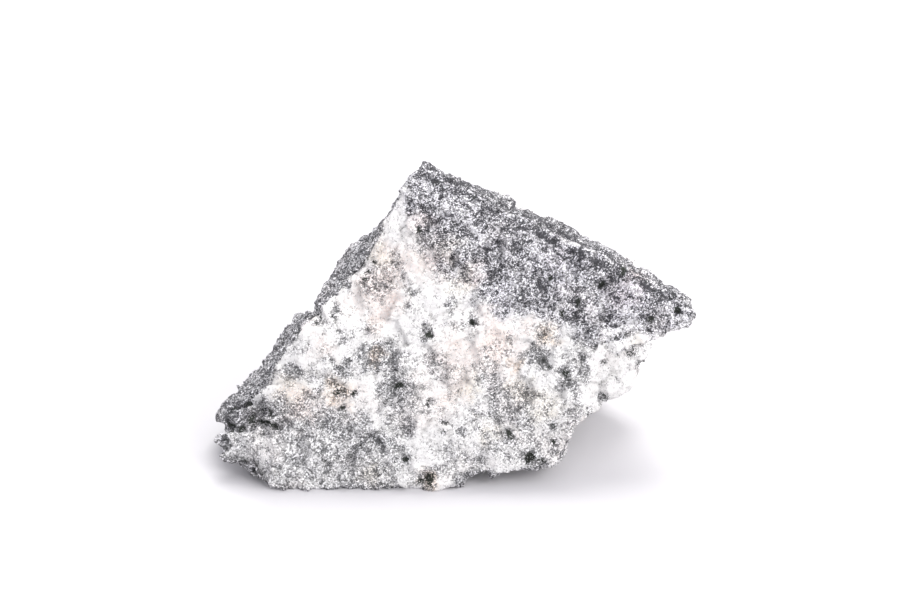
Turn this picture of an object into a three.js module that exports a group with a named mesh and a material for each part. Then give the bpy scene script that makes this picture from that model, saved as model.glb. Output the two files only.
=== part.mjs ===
// A rough, freshly broken stone: one solid piece of grey and white granite-like rock.
//
// The stone is blocked out as a mason reads it, as a few convex blocks that meet at fracture
// planes.  One closed skin of even triangles is laid over all the blocks together, with its
// corners on their arrises, and the floor cuts it off level, so the stone rests on a true flat.
// Last, the skin is roughened everywhere but on that flat.
//
// Frame: millimetres, +Z up, +X along the stone from its toe to the tip of its beak, +Y towards
// its back.  The origin is at the middle of the overall box, on the resting plane.
import * as THREE from "three";
import { ConvexGeometry } from "three/addons/geometries/ConvexGeometry.js";
import { ImprovedNoise } from "three/addons/math/ImprovedNoise.js";

// ---- Driving dimensions, mm ----
const LENGTH = 90; // toe to tip of the beak
const DEPTH = 48; // front to back
const HEIGHT = 52; // resting plane to peak

const CELL = 2.25; // side of the triangles in the skin
const WEAR = 0.15; // share by which the skin is eased, so no arris is razor sharp
const FADE = 3; // height above the resting plane over which the roughness grows to its full size

// Roughness: each layer is [size of the bumps, height of the bumps].
const ROUGHNESS = [
  [13, 0.8],
  [5.5, 0.45],
];

// ---- The blocks, as corner points in a working frame whose floor is z = 0 ----
const BLOCKS = {
  // The body: its front is the broad fresh face, its left edge the long ridge.
  body: [
    [-4, 11, 51.5],
    [-7.8, 6.2, 46.4],
    [-12, 0.7, 39.1],
    [-18.5, -3.8, 33.1],
    [-25.6, -8.7, 26.7],
    [-32.2, -11.6, 21.1],
    [-34, -13.6, 17.2],
    [-30, -20.5, -1.5],
    [-4, -20.5, -1.5],
    [21, -18.4, 4.5],
    [22.5, -17.6, 7],
    [23, -15.8, 11.5],
    [24.5, -13, 17],
    [25.5, -10.2, 22],
    [30, -7.1, 26.1],
    [4.5, 7.5, 46.2],
    [25.5, 1, 38.5],
    [3.8, 16.7, 45.3],
    [26.6, 10.7, 36.4],
    [-12, 24, 30],
    [12, 27, 24],
    [-25, 24, 3],
    [-20, 26, -1.5],
    [8, 28, -1.5],
    [22, 14, -1.5],
  ],
  // The beak: the point that overhangs on the right.
  beak: [
    [4.5, 7.5, 46],
    [25.5, 1, 38.5],
    [37, -2.5, 33.6],
    [45.2, -3.4, 29.4],
    [46, -4.6, 27.6],
    [45.6, -2.2, 27.8],
    [45.2, -5.7, 25.7],
    [38.4, -6.8, 26.2],
    [30, -6.9, 26.1],
    [25.7, -11, 22],
    [43, 1, 30.8],
    [36, 6, 33],
    [26.6, 10.7, 36.4],
    [13.4, 15.4, 41.3],
    [38, 6, 22],
    [28, 12, 20],
    [5, 0, 25],
  ],
  // The upper shoulder, behind the ridge.
  upper_shoulder: [
    [-7.5, 10.5, 44.5],
    [-13, 5, 38.4],
    [-19.5, 0.5, 32.2],
    [-24.5, -2.5, 27],
    [-11, 10.4, 41],
    [-14.3, 12.7, 36.6],
    [-17.7, 14.1, 32.8],
    [-21, 13.2, 29.2],
    [-24, 7.8, 27.7],
    [-18, 21, 24],
    [-24, 14, 18],
    [-24, -2, 16],
    [-5, 10, 30],
  ],
  // The lower shoulder, which runs down to the toe.
  lower_shoulder: [
    [-26, -3.5, 25],
    [-32, -6, 19.5],
    [-34, -9, 15],
    [-38, -12.5, 9],
    [-27.4, 7.9, 21.6],
    [-31, 13.2, 16],
    [-36.5, 11.7, 9.2],
    [-41.3, 3.2, 6],
    [-43, -1.5, 6],
    [-43.2, -7.5, 7.2],
    [-42, -9.5, 8],
    [-36, 12, 1],
    [-40, 0, 1.5],
    [-38, -10, 2],
    [-24, 20, 14],
    [-26, 22, 2],
    [-14, -8, 14],
    [-14, 0, 4],
  ],
  // The toe: the low left end.
  toe: [
    [-38, -18.6, 1.4],
    [-42.5, -16.4, 3.5],
    [-43.9, -14, 5.6],
    [-43.6, -12, 7],
    [-36, -14, 11.5],
    [-31, -20.3, 0.4],
    [-27, -15.2, 9],
    [-20, -8, 13],
    [-20, -10, 2],
    [-36, -8, 1],
  ],
  // The flank: the pale swelling low on the right, under the beak.
  flank: [
    [39.7, 8.5, 16.2],
    [38.9, 9.5, 13.9],
    [37.4, 8.9, 10.7],
    [36.9, 7.8, 8.6],
    [35.2, 5.7, 6.7],
    [32.3, 3.9, 5.5],
    [28.8, 1, 6.3],
    [23.5, -8, 6.2],
    [23.5, -7, 18],
    [26, -1, 19.5],
    [28.4, 0.6, 20.6],
    [36, 7, 24],
    [29, 4, 28],
    [22, 22, 20],
    [24, 20, 2.5],
    [30, 19, 14],
    [26, 18, 3],
    [10, 5, 10],
  ],
};

// Chips: convex pieces that have broken away from the blocks.
const CHIPS = {
  // Under the front's lower right corner, which hangs just clear of the floor.
  under_heel: [
    [-3, -26, -2],
    [5, -26, 2.8],
    [32, -26, 3],
    [-3, -14, -2],
    [5, -14, 2.5],
    [32, -10, 3],
    [10, 2, -0.5],
    [32, 6, -0.5],
    [32, -26, -2],
  ],
};

// ---- From blocks to one skin ----

// The planes that bound a block: one for each face of the hull of its corners.
function planesOf(corners) {
  const { position } = new ConvexGeometry(corners.map((c) => new THREE.Vector3(...c))).attributes;
  const at = (i) => new THREE.Vector3().fromBufferAttribute(position, i);
  const planes = [];
  for (let i = 0; i < position.count; i += 3)
    planes.push(new THREE.Plane().setFromCoplanarPoints(at(i), at(i + 1), at(i + 2)));
  return planes;
}

const blocks = Object.values(BLOCKS).map(planesOf);
const chips = Object.values(CHIPS).map(planesOf);
const floor = new THREE.Plane(new THREE.Vector3(0, 0, -1), 0);
const outerOf = (planes, p) =>
  planes.reduce((a, b) => (b.distanceToPoint(p) > a.distanceToPoint(p) ? b : a));

// The plane that the stone's surface follows near a point.  In a block that is the plane the
// point is farthest outside of.  Of all the blocks the point belongs to the one it is least
// outside of, and the floor and the chips, turned inside out, bound them all.
function surfacePlane(p) {
  const nearest = blocks
    .map((planes) => outerOf(planes, p))
    .reduce((a, b) => (b.distanceToPoint(p) < a.distanceToPoint(p) ? b : a));
  return outerOf([nearest, floor, ...chips.map((planes) => outerOf(planes, p).clone().negate())], p);
}

const meanOf = (points) =>
  points.reduce((sum, p) => sum.add(p), new THREE.Vector3()).divideScalar(points.length);

// The corner of the skin in one cell: it starts at the mean of the places where the surface
// crosses the cell's edges, and moves until it is on all the planes found there, which puts it
// on the arris where two of them meet.  Where one of them is the floor it lies exactly on that.
function cornerIn(cell, crossings) {
  const planes = crossings.map(surfacePlane);
  const corner = meanOf(crossings);
  for (let round = 0; round < 30; round++) {
    const pulls = planes.map((plane) =>
      plane.normal.clone().multiplyScalar(-plane.distanceToPoint(corner)),
    );
    corner.addScaledVector(meanOf(pulls), 1.5);
  }
  cell.clampPoint(corner, corner);
  if (planes.includes(floor)) corner.z = 0;
  return corner;
}

// A closed skin over the stone, made on a grid of cells.  Each cell that the surface passes
// through gets one corner.  Each grid edge that the surface crosses gets a quad between the four
// cells around that edge, split along the diagonal that lies closer to the surface.
function skinOver(box) {
  const grid = box.clone().expandByScalar(1.65 * CELL);
  const [nx, ny, nz] = grid.getSize(new THREE.Vector3()).divideScalar(CELL).ceil().toArray();
  const place = (i, j, k) => new THREE.Vector3(i, j, k).multiplyScalar(CELL).add(grid.min);
  const depth = (p) => surfacePlane(p).distanceToPoint(p);
  const keyOf = (i, j, k) => i + (nx + 1) * (j + (ny + 1) * k);
  const depths = [];
  for (let k = 0; k <= nz; k++)
    for (let j = 0; j <= ny; j++)
      for (let i = 0; i <= nx; i++) depths[keyOf(i, j, k)] = depth(place(i, j, k));

  const ends = [0, 1, 2, 3, 4, 5, 6, 7].map((n) => [n & 1, (n >> 1) & 1, n >> 2]);
  const edges = [1, 2, 4].flatMap((bit) =>
    ends.flatMap((_, n) => (n & bit ? [] : [[ends[n], ends[n | bit]]])),
  );
  const corners = [];
  const cornerAt = new Map();
  for (let k = 0; k < nz; k++)
    for (let j = 0; j < ny; j++)
      for (let i = 0; i < nx; i++) {
        const crossings = [];
        for (const [[a, b, c], [d, e, f]] of edges) {
          const from = depths[keyOf(i + a, j + b, k + c)];
          const to = depths[keyOf(i + d, j + e, k + f)];
          if (from < 0 !== to < 0)
            crossings.push(
              place(i + a, j + b, k + c).lerp(place(i + d, j + e, k + f), from / (from - to)),
            );
        }
        if (!crossings.length) continue;
        cornerAt.set(keyOf(i, j, k), corners.length);
        corners.push(cornerIn(new THREE.Box3(place(i, j, k), place(i + 1, j + 1, k + 1)), crossings));
      }

  const axes = [[1, 0, 0], [0, 1, 0], [0, 0, 1]];
  const middle = (a, b) => Math.abs(depth(corners[a].clone().lerp(corners[b], 0.5)));
  const index = [];
  for (let k = 1; k < nz; k++)
    for (let j = 1; j < ny; j++)
      for (let i = 1; i < nx; i++)
        axes.forEach(([x, y, z], n) => {
          const inside = depths[keyOf(i, j, k)] < 0;
          if (inside === depths[keyOf(i + x, j + y, k + z)] < 0) return;
          const [u, v] = [axes[(n + 1) % 3], axes[(n + 2) % 3]];
          const around = [[0, 0], [1, 0], [1, 1], [0, 1]].map(([s, t]) =>
            cornerAt.get(keyOf(i - s * u[0] - t * v[0], j - s * u[1] - t * v[1], k - s * u[2] - t * v[2])),
          );
          const [a, b, c, d] = inside ? around : around.reverse();
          index.push(...(middle(a, c) < middle(b, d) ? [a, b, c, a, c, d] : [a, b, d, b, c, d]));
        });
  return new THREE.BufferGeometry().setFromPoints(corners).setIndex(index);
}

// ---- Finishing the skin ----

// Moves each corner of the skin that isn't on the resting plane.
function moveCorners(skin, move) {
  const { position } = skin.attributes;
  const points = Array.from({ length: position.count }, (_, i) =>
    new THREE.Vector3().fromBufferAttribute(position, i),
  );
  points.forEach((p, i) => {
    if (p.z < 0.01) return;
    const moved = move(p.clone(), i, points);
    position.setXYZ(i, moved.x, moved.y, moved.z);
  });
  return skin;
}

// Eases every corner a little towards the mean of its neighbours.
function worn(skin) {
  const around = Array.from({ length: skin.attributes.position.count }, () => new Set());
  const index = skin.index.array;
  for (let i = 0; i < index.length; i += 3)
    for (const [a, b] of [[0, 1], [1, 2], [2, 0]]) {
      around[index[i + a]].add(index[i + b]);
      around[index[i + b]].add(index[i + a]);
    }
  return moveCorners(skin, (p, i, points) =>
    p.lerp(meanOf([...around[i]].map((n) => points[n])), WEAR),
  );
}

// Pushes each corner in or out along its normal by layered noise.
function roughened(skin) {
  skin.computeVertexNormals();
  const noise = new ImprovedNoise();
  return moveCorners(skin, (p, i) => {
    const push = ROUGHNESS.reduce(
      (sum, [size, height]) =>
        sum + height * noise.noise(p.x / size + 31, p.y / size + 17, p.z / size + 53),
      0,
    );
    const normal = new THREE.Vector3().fromBufferAttribute(skin.attributes.normal, i);
    return p.addScaledVector(normal, push * Math.min(1, p.z / FADE));
  });
}

// Sets the overall box to the driving dimensions, with the origin at its bottom centre.
function fitted(skin) {
  skin.computeBoundingBox();
  const size = skin.boundingBox.getSize(new THREE.Vector3());
  const centre = skin.boundingBox.getCenter(new THREE.Vector3());
  skin.translate(-centre.x, -centre.y, -skin.boundingBox.min.z);
  skin.scale(LENGTH / size.x, DEPTH / size.y, HEIGHT / size.z);
  return skin;
}

const corners = Object.values(BLOCKS).flat().map((c) => new THREE.Vector3(...c));
const skin = skinOver(new THREE.Box3().setFromPoints(corners));
const rock = new THREE.Mesh(
  fitted(roughened(worn(skin))),
  new THREE.MeshStandardMaterial({
    color: new THREE.Color(0.55, 0.54, 0.56),
    roughness: 0.9,
    metalness: 0,
  }),
);
rock.name = "rock";

const stone = new THREE.Group();
stone.add(rock);
export default stone;
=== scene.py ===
# %% [markdown]
# # A rough rock, in cells
# The real object is one broken piece of a granite-like rock, about 90 mm long. It is a mass of
# crystals grown into each other: white feldspar and quartz, and a grey mixture of the same with
# small dark mica and amphibole. It broke out of a larger rock, so its faces are fresh and rough.
# The stone could be sculpted by hand, but a stone is the sum of a few simple causes, so each cause
# gets its own cell here: the broad shape, the minerals, the relief that each mineral leaves when
# it breaks, and the grain that only the material has to carry.

from math import cos, radians, sin

import bmesh
import bpy
import numpy as np
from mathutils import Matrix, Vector, noise
from mathutils.bvhtree import BVHTree


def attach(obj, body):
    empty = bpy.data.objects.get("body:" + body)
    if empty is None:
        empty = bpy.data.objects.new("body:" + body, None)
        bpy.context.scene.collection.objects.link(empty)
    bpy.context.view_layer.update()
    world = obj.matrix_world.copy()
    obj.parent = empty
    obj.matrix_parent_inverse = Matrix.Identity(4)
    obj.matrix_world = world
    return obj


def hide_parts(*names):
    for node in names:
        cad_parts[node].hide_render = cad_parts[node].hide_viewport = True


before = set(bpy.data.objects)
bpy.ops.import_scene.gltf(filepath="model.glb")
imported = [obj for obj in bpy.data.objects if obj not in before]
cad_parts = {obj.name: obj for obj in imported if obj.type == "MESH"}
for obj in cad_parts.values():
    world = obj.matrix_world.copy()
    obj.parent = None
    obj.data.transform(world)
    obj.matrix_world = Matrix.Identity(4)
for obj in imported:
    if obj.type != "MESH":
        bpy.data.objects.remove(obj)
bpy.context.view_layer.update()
MM = 0.001

# %% [markdown]
# ## The camera
# The stone is looked at from in front and a little above, as a specimen on a table is. A long lens
# from half a metre keeps its straight edges straight. The camera comes first, because its line of
# sight is also used below to name places on the broad front face.

# %% Set up the camera
TILT = radians(28)
AIM = Vector((-0.5, -7.6, 31.05))
STAND_OFF = 464
LENS, SENSOR_WIDTH = 100, 36
SIGHT = Vector((0, cos(TILT), -sin(TILT)))
UPWARD = Vector((0, sin(TILT), cos(TILT)))

camera = bpy.data.objects.new("camera", bpy.data.cameras.new("camera"))
camera.data.lens = LENS
camera.data.sensor_width = SENSOR_WIDTH
camera.location = (AIM - SIGHT * STAND_OFF) * MM
camera.rotation_euler = SIGHT.to_track_quat("-Z", "Y").to_euler()
bpy.context.scene.collection.objects.link(camera)
bpy.context.scene.camera = camera
print("camera stands at", [round(v, 3) for v in camera.location])

# %% [markdown]
# ## The skin
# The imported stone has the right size, faces and edges, but its triangles are a few millimetres wide.
# To carve detail into it, its surface needs small, even faces everywhere. Subdividing would keep the
# old edges in the pattern, so a copy is welded and then remeshed with voxels, which lays a fresh
# even net of quads over it. A few rounds of smoothing take away what is left of the old triangles.
# The work is done in millimetres, because every size below is then one that can be pictured.

# %% Weld a copy of the stone
WELD_GAP = 0.001


def welded_copy(node, name):
    """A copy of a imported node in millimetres, with its loose triangles joined."""
    shape = bmesh.new()
    shape.from_mesh(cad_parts[node].data)
    bmesh.ops.remove_doubles(shape, verts=shape.verts, dist=WELD_GAP * MM)
    bmesh.ops.scale(shape, vec=Vector((1, 1, 1)) / MM, verts=shape.verts)
    mesh = bpy.data.meshes.new(name)
    shape.to_mesh(mesh)
    shape.free()
    piece = bpy.data.objects.new(name, mesh)
    bpy.context.scene.collection.objects.link(piece)
    return piece


rock = welded_copy("rock", "rough_rock")
print("welded copy:", len(rock.data.vertices), "corners")

# %% Lay an even net of small quads over it
VOXEL = 0.44
SOFTEN = 0.5


def evened(piece, voxel, rounds):
    """Give a piece an even net of quads of this size, softened this many times."""
    remesh = piece.modifiers.new("even net", "REMESH")
    remesh.mode = "VOXEL"
    remesh.voxel_size = voxel
    soften = piece.modifiers.new("soften", "SMOOTH")
    soften.factor = SOFTEN
    soften.iterations = rounds
    depsgraph = bpy.context.evaluated_depsgraph_get()
    mesh = bpy.data.meshes.new_from_object(piece.evaluated_get(depsgraph))
    piece.modifiers.clear()
    piece.data = mesh


evened(rock, VOXEL, rounds=4)
print("even net:", len(rock.data.vertices), "corners,", len(rock.data.polygons), "quads")

# %% [markdown]
# ## Places on the stone
# A place on the broad face is named by two numbers, as on a map held square to the line of sight:
# how far across from the middle, and how far up. The third number, depth, says how far behind the
# broad face something lies, so that paint meant for the front doesn't come out on the back.

# %% Read the net, and map each of its corners


def read(collection, what):
    """The places or directions of all items of a mesh, as rows of x, y and z."""
    values = np.empty(len(collection) * 3)
    collection.foreach_get(what, values)
    return values.reshape(-1, 3)


def broad_normals(piece, rounds):
    """Which way each corner faces when the small bumps around it are smoothed away."""
    blur = piece.modifiers.new("blur", "SMOOTH")
    blur.iterations = rounds
    depsgraph = bpy.context.evaluated_depsgraph_get()
    mesh = bpy.data.meshes.new_from_object(piece.evaluated_get(depsgraph))
    normals = read(mesh.vertex_normals, "vector")
    piece.modifiers.clear()
    bpy.data.meshes.remove(mesh)
    return normals


skin = read(rock.data.vertices, "co")
outward = read(rock.data.vertex_normals, "vector")
broad = broad_normals(rock, rounds=20)
across = skin[:, 0]
up = skin @ np.array(UPWARD)
depth = (skin - np.array(AIM)) @ np.array(SIGHT)
height = skin[:, 2]
print("depth from", depth.min().round(1), "to", depth.max().round(1), "mm")

# %% Noise with a size in millimetres, and a soft step


def field(size, seed, octaves=1, roughness=0.9, points=None):
    """Noise with lumps of about this size, from about -1 to 1 at each corner of the net."""
    shift = Vector((seed * 7.3, seed * 3.1, seed * 5.7))
    points = skin if points is None else points
    return np.array(
        [noise.fractal(Vector(p) / size + shift, roughness, 2.0, octaves) for p in points]
    )


def soft_step(values, low, high):
    """0 below low, 1 above high, and smooth in between."""
    t = np.clip((values - low) / (high - low), 0, 1)
    return t * t * (3 - 2 * t)


ragged = np.stack([field(2.6, seed, 3) for seed in (1, 2, 3)], axis=1)
wavy = np.stack([field(7.0, seed, 2) for seed in (4, 5, 6)], axis=1)
print("ragged noise reaches", np.abs(ragged).max().round(2))

# %% [markdown]
# ## The minerals
# Crystals of one kind lie in zones and patches with ragged borders. The upper right is a lavender
# grey cap, the lower left a neutral grey foot, and between them is a white band with grey islands.
# Each zone is a few corners of an outline on the map, and each island one place with two radii. The
# borders are pushed about by noise, which is cheaper than drawing them, and looks grown. The result
# is kept on the mesh as attributes, which the material reads later: how much of the mixture is dark
# crystals, how deep their grey is, where the black clots are, and a tint. The zones are the cap, the
# foot, a part of the white band that has more grey mixed into it, and a narrow grey shoulder that
# shows behind the upper left edge.

# %% Outlines of the zones, as places on the map
CAP = [
    (-9, 60), (-8.7, 43), (-7.4, 39.5), (-6, 36), (-3.7, 32), (-1, 28), (1.5, 26), (5, 23.5),
    (9.5, 21.5), (14.5, 20), (20, 19.3), (23.5, 17.8), (27, 17), (34, 17), (60, 14), (60, 60),
]
FOOT = [
    (-60, 8), (-34.5, 6.5), (-31, 6), (-23.5, 5.5), (-17.5, 5.3), (-16, 3), (-14, 0), (-11.5, -3),
    (-7, -3.3), (-7.5, -7), (-10.5, -10), (-13.5, -12.5), (-13.5, -30), (-60, -30),
]
MIXED = [
    (-1, 6), (4, 11), (12, 14), (22, 15), (26, 8), (24, -8), (12, -12), (0, -12), (-3, -4),
]
SHOULDER = [
    (-60, 60), (-16, 40), (-12.9, 37.6), (-14.4, 34.8), (-16.4, 31.6), (-19.2, 28.6), (-22, 26.3),
    (-24.5, 24.3), (-27, 22), (-60, 22),
]
print("outlines have", [len(outline) for outline in (CAP, FOOT, MIXED, SHOULDER)], "corners")

# %% Zones with ragged borders
BORDER_RAG, BORDER_WAVE, EDGE_RAG = 1.8, 2.0, 0.5


def signed_distance(x, y, outline):
    """How far a place is inside the outline (positive) or outside it (negative)."""
    nearest = np.full(len(x), 1e9)
    inside = np.zeros(len(x), bool)
    for (ax, ay), (bx, by) in zip(outline, outline[1:] + outline[:1]):
        ex, ey = bx - ax, by - ay
        t = np.clip(((x - ax) * ex + (y - ay) * ey) / (ex * ex + ey * ey), 0, 1)
        nearest = np.minimum(nearest, np.hypot(x - ax - t * ex, y - ay - t * ey))
        crosses = (ay > y) != (by > y)
        if by != ay:
            inside ^= crosses & (x < ax + (y - ay) / (by - ay) * ex)
    return np.where(inside, nearest, -nearest)


def zone(x, y, outline, starts, full):
    """How much of each place lies in a zone, whose border starts and is full at these distances."""
    return soft_step(signed_distance(x, y, outline), starts, full)


map_x = across + BORDER_RAG * ragged[:, 0] + BORDER_WAVE * wavy[:, 0]
map_y = up + BORDER_RAG * ragged[:, 1] + BORDER_WAVE * wavy[:, 1]
edge_x = across + EDGE_RAG * ragged[:, 0]
edge_y = up + EDGE_RAG * ragged[:, 1]
cap = zone(map_x, map_y, CAP, starts=-2.2, full=2.0)
foot = zone(map_x, map_y, FOOT, starts=-1.6, full=1.4)
mixed = zone(map_x, map_y, MIXED, starts=-3, full=3)
shoulder = zone(edge_x, edge_y, SHOULDER, starts=-0.7, full=0.4)
print("cap covers", round(100 * cap.mean()), "% and foot", round(100 * foot.mean()), "% of the map")

# %% [markdown]
# ## The faces
# The map can't tell what lies behind what. The broad face is nearly flat, so the plane that fits its
# corners best says which corners belong to it. The rest is told apart by the way it faces and by
# where it is: the strip along the top, the pale flank under the beak, the left side and the back.

# %% Tell the broad face from the top strip, the flank, the left side and the back
FACES_VIEWER, NEAR_PLANE = 0.93, 6
nearly = (broad @ -np.array(SIGHT) > FACES_VIEWER) & (np.abs(depth) < NEAR_PLANE)
middle = skin[nearly].mean(axis=0)
face_normal = np.linalg.svd(skin[nearly] - middle, full_matrices=False)[2][2]
face_normal *= -np.sign(face_normal[1])
behind_face = (middle - skin) @ face_normal
square_on = soft_step(broad @ face_normal, 0.62, 0.8)
front = square_on * (1 - soft_step(behind_face, 3.0, 4.5))
strip = soft_step(broad[:, 2], 0.7, 0.85) * soft_step(height, 24, 30) * soft_step(across, -8, -4)
strip *= 1 - front
flank = soft_step(across, 22, 24) * (1 - soft_step(height, 22.5, 24.5)) * (1 - front)
flank *= 1 - soft_step(skin[:, 1], 14, 20)
left_side = (1 - front) * (1 - soft_step(across, -12, -8)) * (1 - flank)
back = np.clip(1 - front - flank - left_side - strip, 0, 1)
print("front", round(100 * front.mean()), "%, strip", round(100 * strip.mean()), "%, flank",
      round(100 * flank.mean()), "%, left side", round(100 * left_side.mean()), "%")

# %% [markdown]
# ## The mixture
# In the stone the dark crystals lie thick in some layers and thin in others, and along the top they
# are drawn out into streaks. A picture of this could be laid over the stone, but it would stretch on
# the steep sides. So each zone gets a share of dark crystals instead, mostly from 0 to 1, which noise
# makes uneven.

# %% Blotches, mottling, and streaks that run along the top
STREAK_STRETCH = 7
blotch = field(17, 11, 3)
mottle = field(3.4, 12, 3)
ALONG = Vector((50, -14, -21)).normalized()
SIDEWAYS = ALONG.cross(Vector((0, 0, 1))).normalized()
sheared = np.column_stack([
    skin @ np.array(ALONG) / STREAK_STRETCH, skin @ np.array(SIDEWAYS),
    skin @ np.array(ALONG.cross(SIDEWAYS)),
])
streak = field(1.1, 13, 2, points=sheared)
near_top = soft_step(broad[:, 2], 0.35, 0.8) * cap
print("mottling reaches", np.abs(mottle).max().round(2), "and streaks", np.abs(streak).max().round(2))

# %% The dark seam where the broad face meets the top strip
SEAM = [
    (-6, 46.5), (-1, 45.2), (2.9, 43.3), (7.4, 40.8), (10.7, 39.2), (16.4, 35.8), (23.4, 32),
    (31, 28), (38, 24.5),
]
SEAM_RAG, SEAM_CORE, SEAM_EDGE = 0.6, 0.5, 2.6


def line_distance(x, y, line):
    """How far a place is from a bent line."""
    away = np.full(len(x), 1e9)
    for (ax, ay), (bx, by) in zip(line, line[1:]):
        ex, ey = bx - ax, by - ay
        t = np.clip(((x - ax) * ex + (y - ay) * ey) / (ex * ex + ey * ey), 0, 1)
        away = np.minimum(away, np.hypot(x - ax - t * ex, y - ay - t * ey))
    return away


seam_x = across + SEAM_RAG * ragged[:, 0]
seam_y = up + SEAM_RAG * ragged[:, 1]
seam = 1 - soft_step(line_distance(seam_x, seam_y, SEAM), SEAM_CORE, SEAM_EDGE)
seam *= np.clip(front * cap + strip, 0, 1)
print("the seam covers", (100 * (seam > 0.5).mean()).round(1), "% of the skin")

# %% How much of each zone is dark crystals
white_share = 0.03 + 0.14 * mixed + 0.28 * soft_step(mottle, -0.05, 0.6)
cap_share = 0.53 + 0.20 * mottle + 0.12 * near_top * streak
foot_share = 0.46 + 0.10 * mottle
shoulder_share = 0.57 + 0.2 * mottle
strip_share = 0.68 + 0.4 * streak
flank_share = 0.02 + 0.10 * soft_step(mottle, 0, 0.5)
side_share = 0.58 + 0.15 * mottle
back_share = 0.24 + 0.3 * soft_step(blotch, -0.35, 0.25) + 0.2 * mottle
seam_share = 0.10 + 0.35 * streak
dark = front * np.maximum(white_share + (cap_share - white_share) * cap, foot * foot_share)
dark = np.where(shoulder * front > dark, shoulder_share * shoulder, dark)
dark += strip * strip_share + flank * flank_share + left_side * side_share
dark += back * back_share
dark += seam * seam_share
print("dark share is", dark.mean().round(2), "on average")

# %% Where the dark crystals are nearly black, and where the quartz is lavender
deep = np.clip(front * cap + strip + 0.6 * left_side + 0.6 * back + front * shoulder, 0, 1)
lavender = front * cap + 0.5 * strip + 0.35 * back + 0.5 * left_side
print("deep grey covers", round(100 * deep.mean()), "% and lavender", round(100 * lavender.mean()), "%")

# %% [markdown]
# ## Spots
# Everything smaller than a zone is a list of spots: grey islands in the white band, pale patches,
# black clots, stains. A straight line along the sight through a place on the map finds the skin
# there, and the spot is a soft ragged ball around that point. It needs no unwrapping, and it can't
# come out on the far side of the stone.

# %% How much of the stone lies in a spot
net = BVHTree.FromObject(rock, bpy.context.evaluated_depsgraph_get())
RAY_START = 200


def spot(x, y, radius_x, radius_y=None, soft=0.35, behind=4.0, rag=1.0):
    """How much of each corner of the net lies in a spot on the map, from 0 to 1."""
    start = Vector((x, 0, 0)) + UPWARD * y - SIGHT * RAY_START
    hit = net.ray_cast(start, SIGHT)[0]
    if hit is None:
        return np.zeros(len(skin))
    hit_depth = (hit - AIM).dot(SIGHT)
    dx = (across + rag * ragged[:, 0] - x) / radius_x
    dy = (up + rag * ragged[:, 1] - y) / (radius_y or radius_x)
    dz = (depth - hit_depth) / behind
    return 1 - soft_step(np.sqrt(dx * dx + dy * dy + dz * dz), 1 - soft, 1 + soft)


print("a spot of 5 mm covers", round(100 * (spot(0, 15, 5) > 0.5).mean(), 1), "% of the skin")

# %% Grey islands
ISLANDS = [
    # across, up, radius across, radius up, how dark
    (-13.3, 13.6, 4.9, 3.4, 0.56), (-10.3, 6.8, 4.2, 4.2, 0.52), (-29.8, 11.2, 1.7, 2.2, 0.55),
    (-20.2, 11.8, 2.2, 2.0, 0.56), (-26.5, 9.9, 1.2, 1.2, 0.35), (-5, 18.3, 1.5, 2, 0.45),
    (3.4, 19.7, 1.3, 2.4, 0.45), (-3.8, 12.6, 1.4, 2.4, 0.45), (15.4, 14, 2.2, 2.6, 0.65),
    (17, 18, 1.9, 1.9, 0.5), (10.5, 4.3, 5.0, 3.8, 0.45), (5.6, 11, 1.8, 1.8, 0.35),
    (7, 8, 1.8, 1.4, 0.35), (12.5, 7.7, 1.8, 1.2, 0.35), (-9.7, 0.8, 2.8, 3.2, 0.42),
    (21, 10.5, 1.9, 2.1, 0.45), (-0.7, 22.8, 1.6, 0.9, 0.4), (-20.3, 27, 1.3, 0.9, 0.5),
    (-20.7, 22, 1.4, 1.1, 0.45), (-11.5, 30.2, 2.6, 2.2, 0.36), (-14.6, 26.5, 2.8, 2.4, 0.38),
    (-6.1, 35.6, 2.2, 3.2, 0.34), (-3.5, 30, 2.3, 3.0, 0.34), (0.8, 26, 2.6, 2, 0.32),
    (-15.5, 19, 1.6, 1.2, 0.3), (35.3, 9.8, 1.5, 2.8, 0.32), (23.8, 11.5, 1.4, 3.4, 0.45),
    (22.4, 3.5, 1.3, 3.4, 0.4), (24.4, 16.5, 2.3, 1.4, 0.5), (22, 8, 1.1, 1.9, 0.5),
    (-0.5, -4.7, 2.6, 2.6, 0.34), (9, -2.5, 4.0, 3.0, 0.32), (14.5, -3.5, 4.5, 3.0, 0.36),
    (18.5, -1.5, 2.9, 3.4, 0.30), (-6, -9.5, 2.9, 2.4, 0.32), (-24, 15.4, 1.4, 1.0, 0.3),
]
for x, y, rx, ry, share in ISLANDS:
    dark = np.maximum(dark, share * spot(x, y, rx, ry, soft=0.45, rag=1.5))
print(len(ISLANDS), "islands laid; dark share is now", dark.mean().round(2))

# %% Pale patches
PALE = [
    # across, up, radius, how much less dark
    (0, 29.5, 4.5, 0.12), (-38, -4, 6, 0.14), (-28, -6, 6, 0.10), (20, 31, 4, 0.07), (9, 24.5, 3, 0.06),
    (31, 24, 7, 0.09),
]
for x, y, radius, share in PALE:
    dark -= share * spot(x, y, radius, soft=0.6, rag=2.0)
print(len(PALE), "pale patches laid; dark share is now", dark.mean().round(2))
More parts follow.
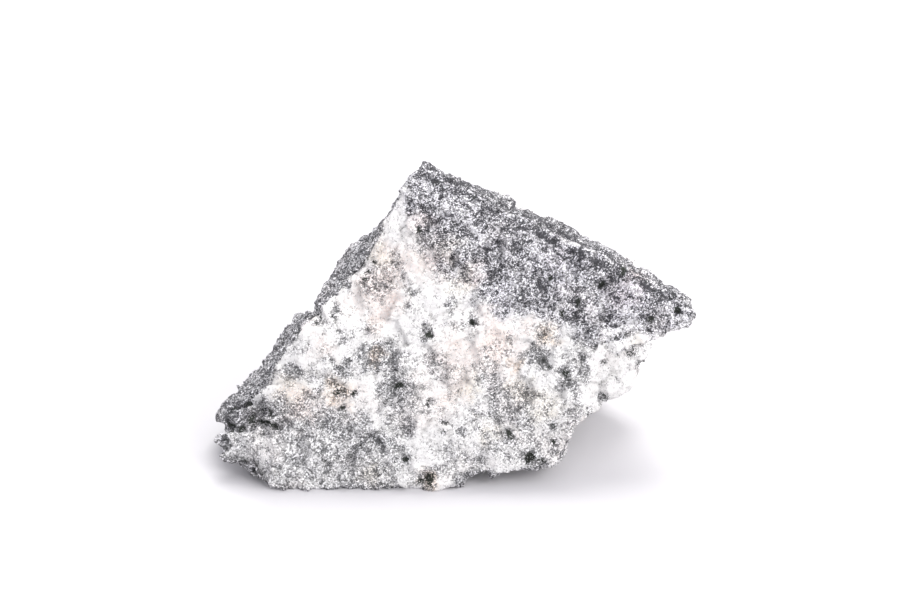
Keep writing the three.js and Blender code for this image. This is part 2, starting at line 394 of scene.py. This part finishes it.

# %% [markdown]
# ## Clots and creases
# The mica gathers in black-green clots a millimetre or two wide, a thin dark vein runs over the flank,
# and a few thin cracks run over the toe and under the beak. Along the cracks the colour is darkened
# nearly to black, as painted shade in them. Little solids could be set into the skin for the clots, but
# in the stone they are part of it. So clots are painted as spots and cracks as bent lines, and both are
# cut in later.

# %% Black-green clots of mica
CLOTS = [
    # across, up, radius
    (-21, 7, 1.5), (-25, 7, 0.9), (-18, 6.8, 0.7), (-4.4, 5.3, 0.7), (-9, -5.3, 0.7),
    (-4.2, -9.2, 1.1), (-6, -9.8, 0.7), (-1.4, -0.3, 0.6), (-2, 2, 0.6), (10.6, -0.8, 0.9),
    (18.7, 0.3, 0.6), (18.6, -2.2, 0.5), (14, -5.4, 1.3), (16.2, -5.9, 0.9), (20.4, -4.4, 0.7),
    (28, 27, 0.8), (31.2, 29.5, 0.8), (23.2, 23.8, 0.6), (18.4, 28, 0.6), (37, 20, 0.7),
    (41.4, 22, 0.6), (20, 21.5, 0.7), (-24.7, 21.7, 0.6), (-22, 20.8, 0.6), (-25.6, 19.5, 0.6),
    (-20.6, 4, 0.5), (-17.4, -3.3, 0.4), (-14.6, 31.5, 0.6), (-15.7, 29.5, 0.6), (-16.4, 28, 0.6),
    (17.8, 11.7, 0.6), (-37.6, 1.7, 1.1), (-35.4, 1, 0.9), (-39.6, 0.1, 0.7), (-6, 36.5, 0.7),
    (33.9, 14.1, 1.3), (31.3, 14.1, 1.0), (36.8, 16.7, 1.0), (35.8, 11.7, 1.1), (28.3, 5.1, 1.1),
    (25.4, 2.6, 1.0), (28, 13, 0.8), (-4.4, 17.5, 0.7), (3.4, 19.7, 0.6), (-9.5, 8, 0.7),
    (21, 10.5, 0.7),
]
clot_and_crease_shade = np.zeros(len(skin))
for x, y, radius in CLOTS:
    clot_and_crease_shade = np.maximum(clot_and_crease_shade, spot(x, y, radius, soft=0.7, behind=2.5, rag=0.8))
SCATTER = 0.6
scatter = soft_step(field(1.7, 21, 2), 0.45, 0.75) * soft_step(dark, 0.3, 0.5)
clot_and_crease_shade = np.maximum(clot_and_crease_shade, SCATTER * scatter)
print(len(CLOTS), "clots and small ones cover", (100 * (clot_and_crease_shade > 0.5).mean()).round(1), "% of the skin")

# %% Creases: cracks above the toe, the line between beak and flank, and a vein on the flank; the cracks and the line get painted shade, the vein is a dark mineral
TOE_CRACK_SHADE, FLANK_CREASE_SHADE_AND_VEIN = 0.75, 0.6
CREASES = [
    # half width, depth, then places on the map
    (0.5, 0.8, [(-44, 0.3), (-42.5, 0.2), (-40, -0.2), (-37.5, 0.2), (-36, 1.4), (-34, 1), (-32, 0)]),
    (0.4, 0.5, [(-43, 1.4), (-42, 3), (-40.3, 4.2), (-37.5, 4.8), (-35, 4.2), (-33.4, 2.6)]),
    (0.35, 0.4, [(24, 13), (26, 15), (29.7, 16.9), (33, 17.8), (36.5, 18.5)]),
    (0.3, 0.3, [(29.7, 9.8), (31, 8.8), (32.1, 8.2), (33.5, 8.6), (35, 9.5)]),
]
crease_shade_and_vein = np.zeros(len(skin))
crack = np.zeros(len(skin))
for half_width, cut, line in CREASES:
    away = line_distance(edge_x, edge_y, line)
    share = (1 - soft_step(away, 0.4 * half_width, 2.2 * half_width)) * (depth < 16)
    crease_shade_and_vein = np.maximum(crease_shade_and_vein, share * soft_step(field(2.0, 22, 2), -0.6, 0.2))
    crack = np.maximum(crack, cut * share)
# Painted shade along the cracks above the toe and the line under the beak, and the dark vein on the
# flank, join the clots.
clot_and_crease_shade = np.maximum(clot_and_crease_shade, TOE_CRACK_SHADE * crease_shade_and_vein * (across < 20) + FLANK_CREASE_SHADE_AND_VEIN * crease_shade_and_vein * (across >= 20))
print("creases cut", crack.max().round(2), "mm deep")

# %% [markdown]
# ## Tints
# Water has left pink and rusty stains, the feldspar is cream in places, and the quartz in the cap is
# a little lavender. All of it is faint, and a flat colour would hide the grain. So a tint only
# multiplies the colour that a crystal has, by place, and some crystals take up more of it than others.

# %% Tints: pink and brown iron stain, cream feldspar, lavender quartz
WHITE, GREY = np.array([1.0, 0.995, 0.99]), np.array([1.0, 1.0, 0.995])
PINK, ROSE = np.array([1.0, 0.88, 0.83]), np.array([1.0, 0.93, 0.95])
CREAM, RUST = np.array([1.0, 0.95, 0.84]), np.array([1, 0.8, 0.62])
LAVENDER = np.array([0.965, 0.96, 0.998])
STAIN_STRENGTH, STAIN_SPREAD, WARMTH = 0.65, 1.2, 0.35
STAINS = [
    # across, up, radius, colour
    (-10, 31, 2.6, PINK), (-13.6, 26, 3.2, PINK), (-6, 37.7, 1.9, PINK), (-11.4, 22.3, 1.4, PINK),
    (-13.6, 20, 1.1, PINK), (7, 19.3, 2.0, PINK), (17.8, 17.5, 1.7, RUST), (14.3, 19.3, 1.1, PINK),
    (1.3, 13, 3.4, PINK), (0, 6.8, 1.8, PINK), (-28, 4, 2.6, PINK), (-23.6, 15.6, 1.7, PINK),
    (7, 14.7, 2.1, PINK), (33.4, 28, 1.0, PINK), (4, 28.2, 1.7, PINK), (-14, 13.2, 1.1, RUST),
    (-13.3, 32.6, 1.5, CREAM), (12, 11.7, 0.9, RUST), (16.7, 4.3, 2.2, CREAM), (7, 0, 1.5, CREAM),
    (-30, 7.3, 2.0, CREAM), (3.2, 8.2, 1.7, CREAM), (12.4, 7, 2.0, CREAM), (33.6, 16.3, 1.3, CREAM),
    (-15.3, -8.5, 1.7, CREAM), (-21, 7, 1.9, RUST), (-4.2, -9.2, 1.6, RUST), (10, 16, 2.5, PINK),
    (-4, 31, 2.4, PINK), (1, 27, 2.0, CREAM), (31, 25.5, 2.4, ROSE), (-1, 34, 2.0, CREAM),
    (8.8, 24.5, 2.4, LAVENDER), (20, 31, 3.4, LAVENDER), (33, 24, 2.8, LAVENDER),
]
tint = WHITE + (LAVENDER - WHITE) * lavender[:, None] + (GREY - WHITE) * (front * foot)[:, None]
for x, y, radius, colour in STAINS:
    share = STAIN_STRENGTH * spot(x, y, radius * STAIN_SPREAD, soft=0.8, rag=2.0)[:, None]
    tint = tint * (1 - share) + tint * colour * share
warmth = soft_step(field(8, 31, 2), -0.1, 0.5)[:, None] * (1 - dark[:, None])
tint = tint * (1 - WARMTH * warmth) + tint * PINK * WARMTH * warmth
print("tint runs from", tint.min(axis=0).round(2), "to", tint.max(axis=0).round(2))

# %% [markdown]
# ## The relief
# A stone breaks around its crystals, so a fresh face is made of small tilted facets with steps
# between them. Each facet here is a cell of a Voronoi pattern that has its own random tilt. White
# crystals break into a few wide, quiet facets. The grey mixture crumbles grain by grain, the clots
# leave pits, and low swells run under it all. Last come some broad dents and bulges that bring the
# outline to its true line. The resting flat stays as it is, and only its rim is chipped.

# %% Tilted facets


def facets(size, seed):
    """Height of a face that is broken into flat tilted cells of about this size."""
    shift = Vector((seed * 4.1, seed * 9.7, seed * 2.3))
    heights = np.empty(len(skin))
    for i, p in enumerate(skin):
        at = Vector(p) / size + shift
        centre = noise.voronoi(at)[1][0]
        heights[i] = (at - centre).dot(noise.cell_vector(centre * 13.7) * 2 - Vector((1, 1, 1)))
    return heights * size


WIDE_FACET, NARROW_FACET = 5.2, 2.3
wide, narrow = facets(WIDE_FACET, 1), facets(NARROW_FACET, 2)
print("facets reach", np.abs(wide).max().round(2), "and", np.abs(narrow).max().round(2), "mm")

# %% Add the parts of the relief up
FILL, SWELL, WIDE = 0.35, 0.42, 0.22
CLOT_PIT, GREY_SINK, STRIP_CALM = 0.30, 0.10, 0.45
crumble = field(1.25, 41, 3, 0.6)
swell = field(10, 42, 2)
grey = soft_step(dark, 0.1, 0.45)
facet_share = 0.17 + 0.05 * grey
crumble_share = 0.21 + 0.15 * grey
small_relief = (1 - STRIP_CALM * strip) * (facet_share * narrow + crumble_share * crumble)
relief = FILL + SWELL * swell + WIDE * wide + small_relief
relief -= CLOT_PIT * clot_and_crease_shade + GREY_SINK * grey * front + crack
print("relief from", relief.min().round(2), "to", relief.max().round(2), "mm")

# %% Broad dents and bulges, and no relief on the resting flat
DENTS = [
    # across, up, radius, depth; a bulge has a depth below 0
    (-13, 38, 7, 1.0), (-20, 29, 8, 2.2), (-40.5, -7.5, 4.5, 2.1), (-37, -9.5, 3, 1.0),
    (-36, 11.5, 7, 1.8), (-1, 46, 4, 0.8), (11, 42, 4, 0.6), (24.5, 0.5, 3, -0.4),
    (34.3, 6.5, 4.5, -1.3), (37, 13, 3, -0.4), (-42, 6, 5, 0.8),
]
for x, y, radius, cut in DENTS:
    relief -= cut * spot(x, y, radius, soft=0.6, behind=2 * radius, rag=0.5)
flat = soft_step(-broad[:, 2], 0.75, 0.95) * (1 - soft_step(height, 0.2, 1.0))
relief *= 1 - flat
print("with dents, relief from", relief.min().round(2), "to", relief.max().round(2), "mm")

# %% [markdown]
# ## Carving
# The relief moves each corner of the net along its own outward direction. A Displace modifier does
# that with a texture, but here the heights also depend on the paint, so they are added up as numbers.
# The result is a plain mesh with no modifier left on it.

# %% Carve it, chip its rim, blunt its tip, and bring the stone back to metres
CHIP = 0.9
TIP, TIP_KEEPS = 44.3, 0.55
carved = skin + outward * relief[:, None]
chipped = np.clip(field(3.1, 43, 3) + 0.15, 0, 1) * (1 - soft_step(height, 0.3, 2.5)) * (1 - flat)
carved[:, 2] = np.maximum(carved[:, 2] + CHIP * chipped, 0)
reach = carved[:, 0]
carved[:, 0] = np.where(reach > TIP, TIP + TIP_KEEPS * (reach - TIP), reach)
rock.data.vertices.foreach_set("co", (carved * MM).ravel())
print("carved box in mm:", carved.min(axis=0).round(1), carved.max(axis=0).round(1))

# %% Keep the paint on the mesh, with painted shade that darkens the hollows
HOLLOW_SHADE = 0.22
# Painted shade: where the small relief sinks, the share of dark crystals rises.
hollow_shade = soft_step(-small_relief, 0.02, 0.3)
dark = np.clip(dark + HOLLOW_SHADE * hollow_shade, 0, 1)
for name, values in (("dark", dark), ("deep", deep), ("clot_and_crease_shade", clot_and_crease_shade)):
    layer = rock.data.attributes.new(name, "FLOAT", "POINT")
    layer.data.foreach_set("value", values)
layer = rock.data.attributes.new("tint", "FLOAT_COLOR", "POINT")
layer.data.foreach_set("color", np.column_stack([tint, np.ones(len(tint))]).ravel())
rock.data.polygons.foreach_set("use_smooth", np.ones(len(rock.data.polygons), bool))
rock.data.update()
print("painted:", 2 * len(rock.data.polygons), "triangles, with", list(rock.data.attributes.keys()))

# %% [markdown]
# ## The grain
# Seen close, the rock is salt and pepper: every crystal has its own shade. A Voronoi texture gives
# each crystal a random number, and the crystal is dark where that number is below the share of dark
# crystals painted above. So one attribute turns a white zone into a grey one, and the grain stays
# the same size everywhere. The texture reads Object coordinates, so that the crystals run through
# the solid, as they do in a real stone, and don't stretch on any face.

# %% Small helpers that build a material
stone = bpy.data.materials.new("rough_granite")
stone.use_nodes = True
tree = stone.node_tree
tree.nodes.clear()
MM_PER_METRE = 1000.0


def add(kind, settings=None, **inputs):
    """A node with its settings; an input is a number, a colour or another node's output."""
    made = tree.nodes.new("ShaderNode" + kind)
    for key, value in (settings or {}).items():
        setattr(made, key, value)
    for key, value in inputs.items():
        socket = made.inputs[int(key[1:])] if key[1:].isdigit() else made.inputs[key.replace("_", " ")]
        if isinstance(value, bpy.types.NodeSocket):
            tree.links.new(value, socket)
        else:
            socket.default_value = value
    return made


def calc(operation, *values):
    """One sum on numbers or on other nodes' outputs."""
    made = add("Math", {"operation": operation}, **{f"i{i}": v for i, v in enumerate(values)})
    return made.outputs[0]


def step(value, low, high):
    """0 below low, 1 above high, and smooth in between, as soft_step is on the mesh."""
    smooth = {"interpolation_type": "SMOOTHSTEP"}
    return add("MapRange", smooth, Value=value, From_Min=low, From_Max=high).outputs[0]


def between(share, first, second, blend="MIX"):
    """A mix of two colours."""
    made = add("Mix", {"data_type": "RGBA", "blend_type": blend}, i0=share, i6=first, i7=second)
    return made.outputs[2]


print("material", stone.name, "is empty, with", len(tree.nodes), "nodes")

# %% Crystals: crooked cells of two sizes, and dust between them
SMALL_PER_MM, LARGE_PER_MM, DUST_PER_MM = 4.0, 1.5, 3.2
SMALL_COUNTS, LARGE_COUNTS, DUST_COUNTS = 0.45, 0.15, 0.4
WANDER_PER_MM, WANDER_MM = 2.2, 0.45
place = add("TexCoord").outputs["Object"]
object_mm = add("VectorMath", {"operation": "SCALE"}, i0=place, i3=MM_PER_METRE)
wander = add("TexNoise", Vector=object_mm.outputs[0], Scale=WANDER_PER_MM, Detail=1.0).outputs["Color"]
wander = add("VectorMath", {"operation": "SUBTRACT"}, i0=wander, i1=(0.5, 0.5, 0.5))
wander = add("VectorMath", {"operation": "SCALE"}, i0=wander.outputs[0], i3=WANDER_MM)
crooked = add("VectorMath", i0=object_mm.outputs[0], i1=wander.outputs[0]).outputs[0]


def crystals(per_mm):
    """Three random numbers for each crystal, of which there are this many in a millimetre."""
    cells = add("TexVoronoi", Vector=crooked, Scale=per_mm)
    return add("SeparateColor", Color=cells.outputs["Color"]).outputs


small, large = crystals(SMALL_PER_MM), crystals(LARGE_PER_MM)
dust = add("TexNoise", Vector=object_mm.outputs[0], Scale=DUST_PER_MM, Detail=2.0, Roughness=0.8)
dust = step(dust.outputs[0], 0.28, 0.72)
value = calc("MULTIPLY", dust, DUST_COUNTS)
value = calc("MULTIPLY_ADD", large[0], LARGE_COUNTS, value)
value = calc("MULTIPLY_ADD", small[0], SMALL_COUNTS, value)
print("crystals are", round(1 / SMALL_PER_MM, 2), "and", round(1 / LARGE_PER_MM, 2), "mm wide")

# %% Which crystals are dark
CLOUDS_PER_MM, CLOUDS_DARKEN, CLOTS_AND_CREASE_SHADE_DARKEN = 0.7, 0.8, 0.55
LOWEST_LIMIT, LIMIT_RANGE = 0.17, 0.58
# The dark share read here also holds the painted shade of the hollows.
painted = add("Attribute", {"attribute_name": "dark"}).outputs["Fac"]
# The clot attribute also holds the painted shade along the cracks, which darkens the share as a clot
# does.
clot_and_crease_shade_fac = add("Attribute", {"attribute_name": "clot_and_crease_shade"}).outputs["Fac"]
clouds = add("TexNoise", Vector=object_mm.outputs[0], Scale=CLOUDS_PER_MM, Detail=3.0, Roughness=0.65)
clouds = calc("SUBTRACT", clouds.outputs[0], 0.5)
share = calc("ADD", painted, calc("MULTIPLY", clouds, CLOUDS_DARKEN))
share = calc("ADD", share, calc("MULTIPLY", clot_and_crease_shade_fac, CLOTS_AND_CREASE_SHADE_DARKEN))
share = add("Clamp", Value=share, Min=0.0, Max=1.15).outputs[0]
limit = calc("MULTIPLY_ADD", share, LIMIT_RANGE, LOWEST_LIMIT)
is_dark = step(calc("SUBTRACT", limit, value), -0.12, 0.08)
print("a crystal is dark below", LOWEST_LIMIT, "to", round(LOWEST_LIMIT + LIMIT_RANGE, 2))

# %% How much the crystals differ in shade: little in white stone, much in grey
LEAST_SPREAD, SPREAD_RANGE, GREY_DIMS = 0.08, 0.82, -0.12
spread = calc("MULTIPLY_ADD", step(share, 0.05, 0.42), SPREAD_RANGE, LEAST_SPREAD)
dimming = calc("MULTIPLY_ADD", share, GREY_DIMS, 1.0)
shade = calc("MULTIPLY_ADD", calc("SUBTRACT", small[1], 0.5), spread, dimming)
print("shades differ by", LEAST_SPREAD, "to", round(LEAST_SPREAD + SPREAD_RANGE, 2))

# %% Colours of the crystals
WHITE_IN_WHITE, WHITE_IN_GREY = (0.93, 0.925, 0.92, 1), (0.87, 0.865, 0.885, 1)
DARK_IN_WHITE, DARK_IN_GREY = (0.46, 0.455, 0.45, 1), (0.178, 0.18, 0.185, 1)
DARK_IN_DEEP_GREY, MICA_AND_CREASE_SHADE = (0.075, 0.075, 0.082, 1), (0.022, 0.028, 0.021, 1)
light = between(step(share, 0.05, 0.7), WHITE_IN_WHITE, WHITE_IN_GREY)
deep_grey = add("Attribute", {"attribute_name": "deep"}).outputs["Fac"]
pepper = between(deep_grey, DARK_IN_GREY, DARK_IN_DEEP_GREY)
pepper = between(step(share, 0.08, 0.6), DARK_IN_WHITE, pepper)
# Clots, and the painted shade along the cracks, turn their crystals nearly black.
pepper = between(step(clot_and_crease_shade_fac, 0.3, 0.8), pepper, MICA_AND_CREASE_SHADE)
colour = between(1.0, between(is_dark, light, pepper), shade, "MULTIPLY")
print("colours mixed with", len(tree.nodes), "nodes so far")

# %% Stains, which some crystals take up more than others
LEAST_STAINED, STAINED_RANGE = 0.3, 0.9
stain = add("Attribute", {"attribute_name": "tint"}).outputs["Color"]
takes_up = calc("MULTIPLY_ADD", small[2], STAINED_RANGE, LEAST_STAINED)
colour = between(takes_up, colour, between(1.0, colour, stain, "MULTIPLY"))
print("a crystal takes up stain from", LEAST_STAINED, "upwards")

# %% Gloss, fine bump and the finished material
MATT, GLINT = 0.78, 0.4
STANDS_PROUD, DARK_SINKS = 0.4, 0.25
BUMP_STRENGTH, BUMP_METRES, QUARTZ_IOR = 0.9, 0.00034, 1.5
rough = calc("SUBTRACT", MATT, calc("MULTIPLY", step(small[1], 0.8, 0.9), GLINT))
raised = calc("ADD", value, calc("MULTIPLY", small[2], STANDS_PROUD))
fine = calc("SUBTRACT", raised, calc("MULTIPLY", is_dark, DARK_SINKS))
bump = add("Bump", Height=fine, Strength=BUMP_STRENGTH, Distance=BUMP_METRES)
surface = add("BsdfPrincipled", Base_Color=colour, Roughness=rough, Normal=bump.outputs[0])
surface.inputs["IOR"].default_value = QUARTZ_IOR
add("OutputMaterial", Surface=surface.outputs[0])
rock.data.materials.clear()
rock.data.materials.append(stone)
print("material has", len(tree.nodes), "nodes")

# %% [markdown]
# ## Floor and light
# A pale floor and an even white sky show the stone without hard shadows. One soft light, high up
# and behind, gives the small facets their shape and lets a faint lavender shadow fall forwards.
# A larger one, lower down on the right, keeps the overhanging side from going grey.

# %% A pale floor
FLOOR_SIZE, FLOOR_COLOUR, FLOOR_ROUGHNESS = 6, (0.625, 0.618, 0.635, 1), 0.9
bpy.ops.mesh.primitive_plane_add(size=FLOOR_SIZE)
floor = bpy.context.object
floor.name = "floor"
pale = bpy.data.materials.new("pale_floor")
pale.use_nodes = True
paint = pale.node_tree.nodes["Principled BSDF"].inputs
paint["Base Color"].default_value = FLOOR_COLOUR
paint["Roughness"].default_value = FLOOR_ROUGHNESS
floor.data.materials.append(pale)
print("floor is", FLOOR_SIZE, "m wide")

# %% An even sky
SKY_COLOUR, SKY_STRENGTH = (0.965, 0.955, 1.0, 1), 0.71
world = bpy.data.worlds.new("sky")
bpy.context.scene.world = world
world.use_nodes = True
sky = world.node_tree.nodes["Background"].inputs
sky["Color"].default_value = SKY_COLOUR
sky["Strength"].default_value = SKY_STRENGTH
print("sky strength is", SKY_STRENGTH)

# %% Two soft lights, and a bright exposure
LIT_POINT = Vector((0, 0, 0.02))
EXPOSURE = 0.52


def soft_light(name, size, watts, place, colour):
    """A square light of this size in metres, turned towards the stone."""
    lamp = bpy.data.objects.new(name, bpy.data.lights.new(name, "AREA"))
    lamp.data.size = size
    lamp.data.energy = watts
    lamp.data.color = colour
    lamp.location = place
    lamp.rotation_euler = (LIT_POINT - lamp.location).to_track_quat("-Z", "Y").to_euler()
    bpy.context.scene.collection.objects.link(lamp)


soft_light("back_light", 0.6, 7.8, (0.1, 0.56, 0.98), (1.0, 0.99, 0.97))
soft_light("fill_light", 0.9, 8.5, (0.95, -0.6, 0.65), (1.0, 0.985, 0.965))
bpy.context.scene.view_settings.view_transform = "Standard"
bpy.context.scene.view_settings.exposure = EXPOSURE
print("lights:", [lamp.name for lamp in bpy.data.lights])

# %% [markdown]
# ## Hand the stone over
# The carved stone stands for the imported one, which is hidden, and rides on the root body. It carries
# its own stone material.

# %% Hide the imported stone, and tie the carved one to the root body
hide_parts("rock")
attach(rock, "root")
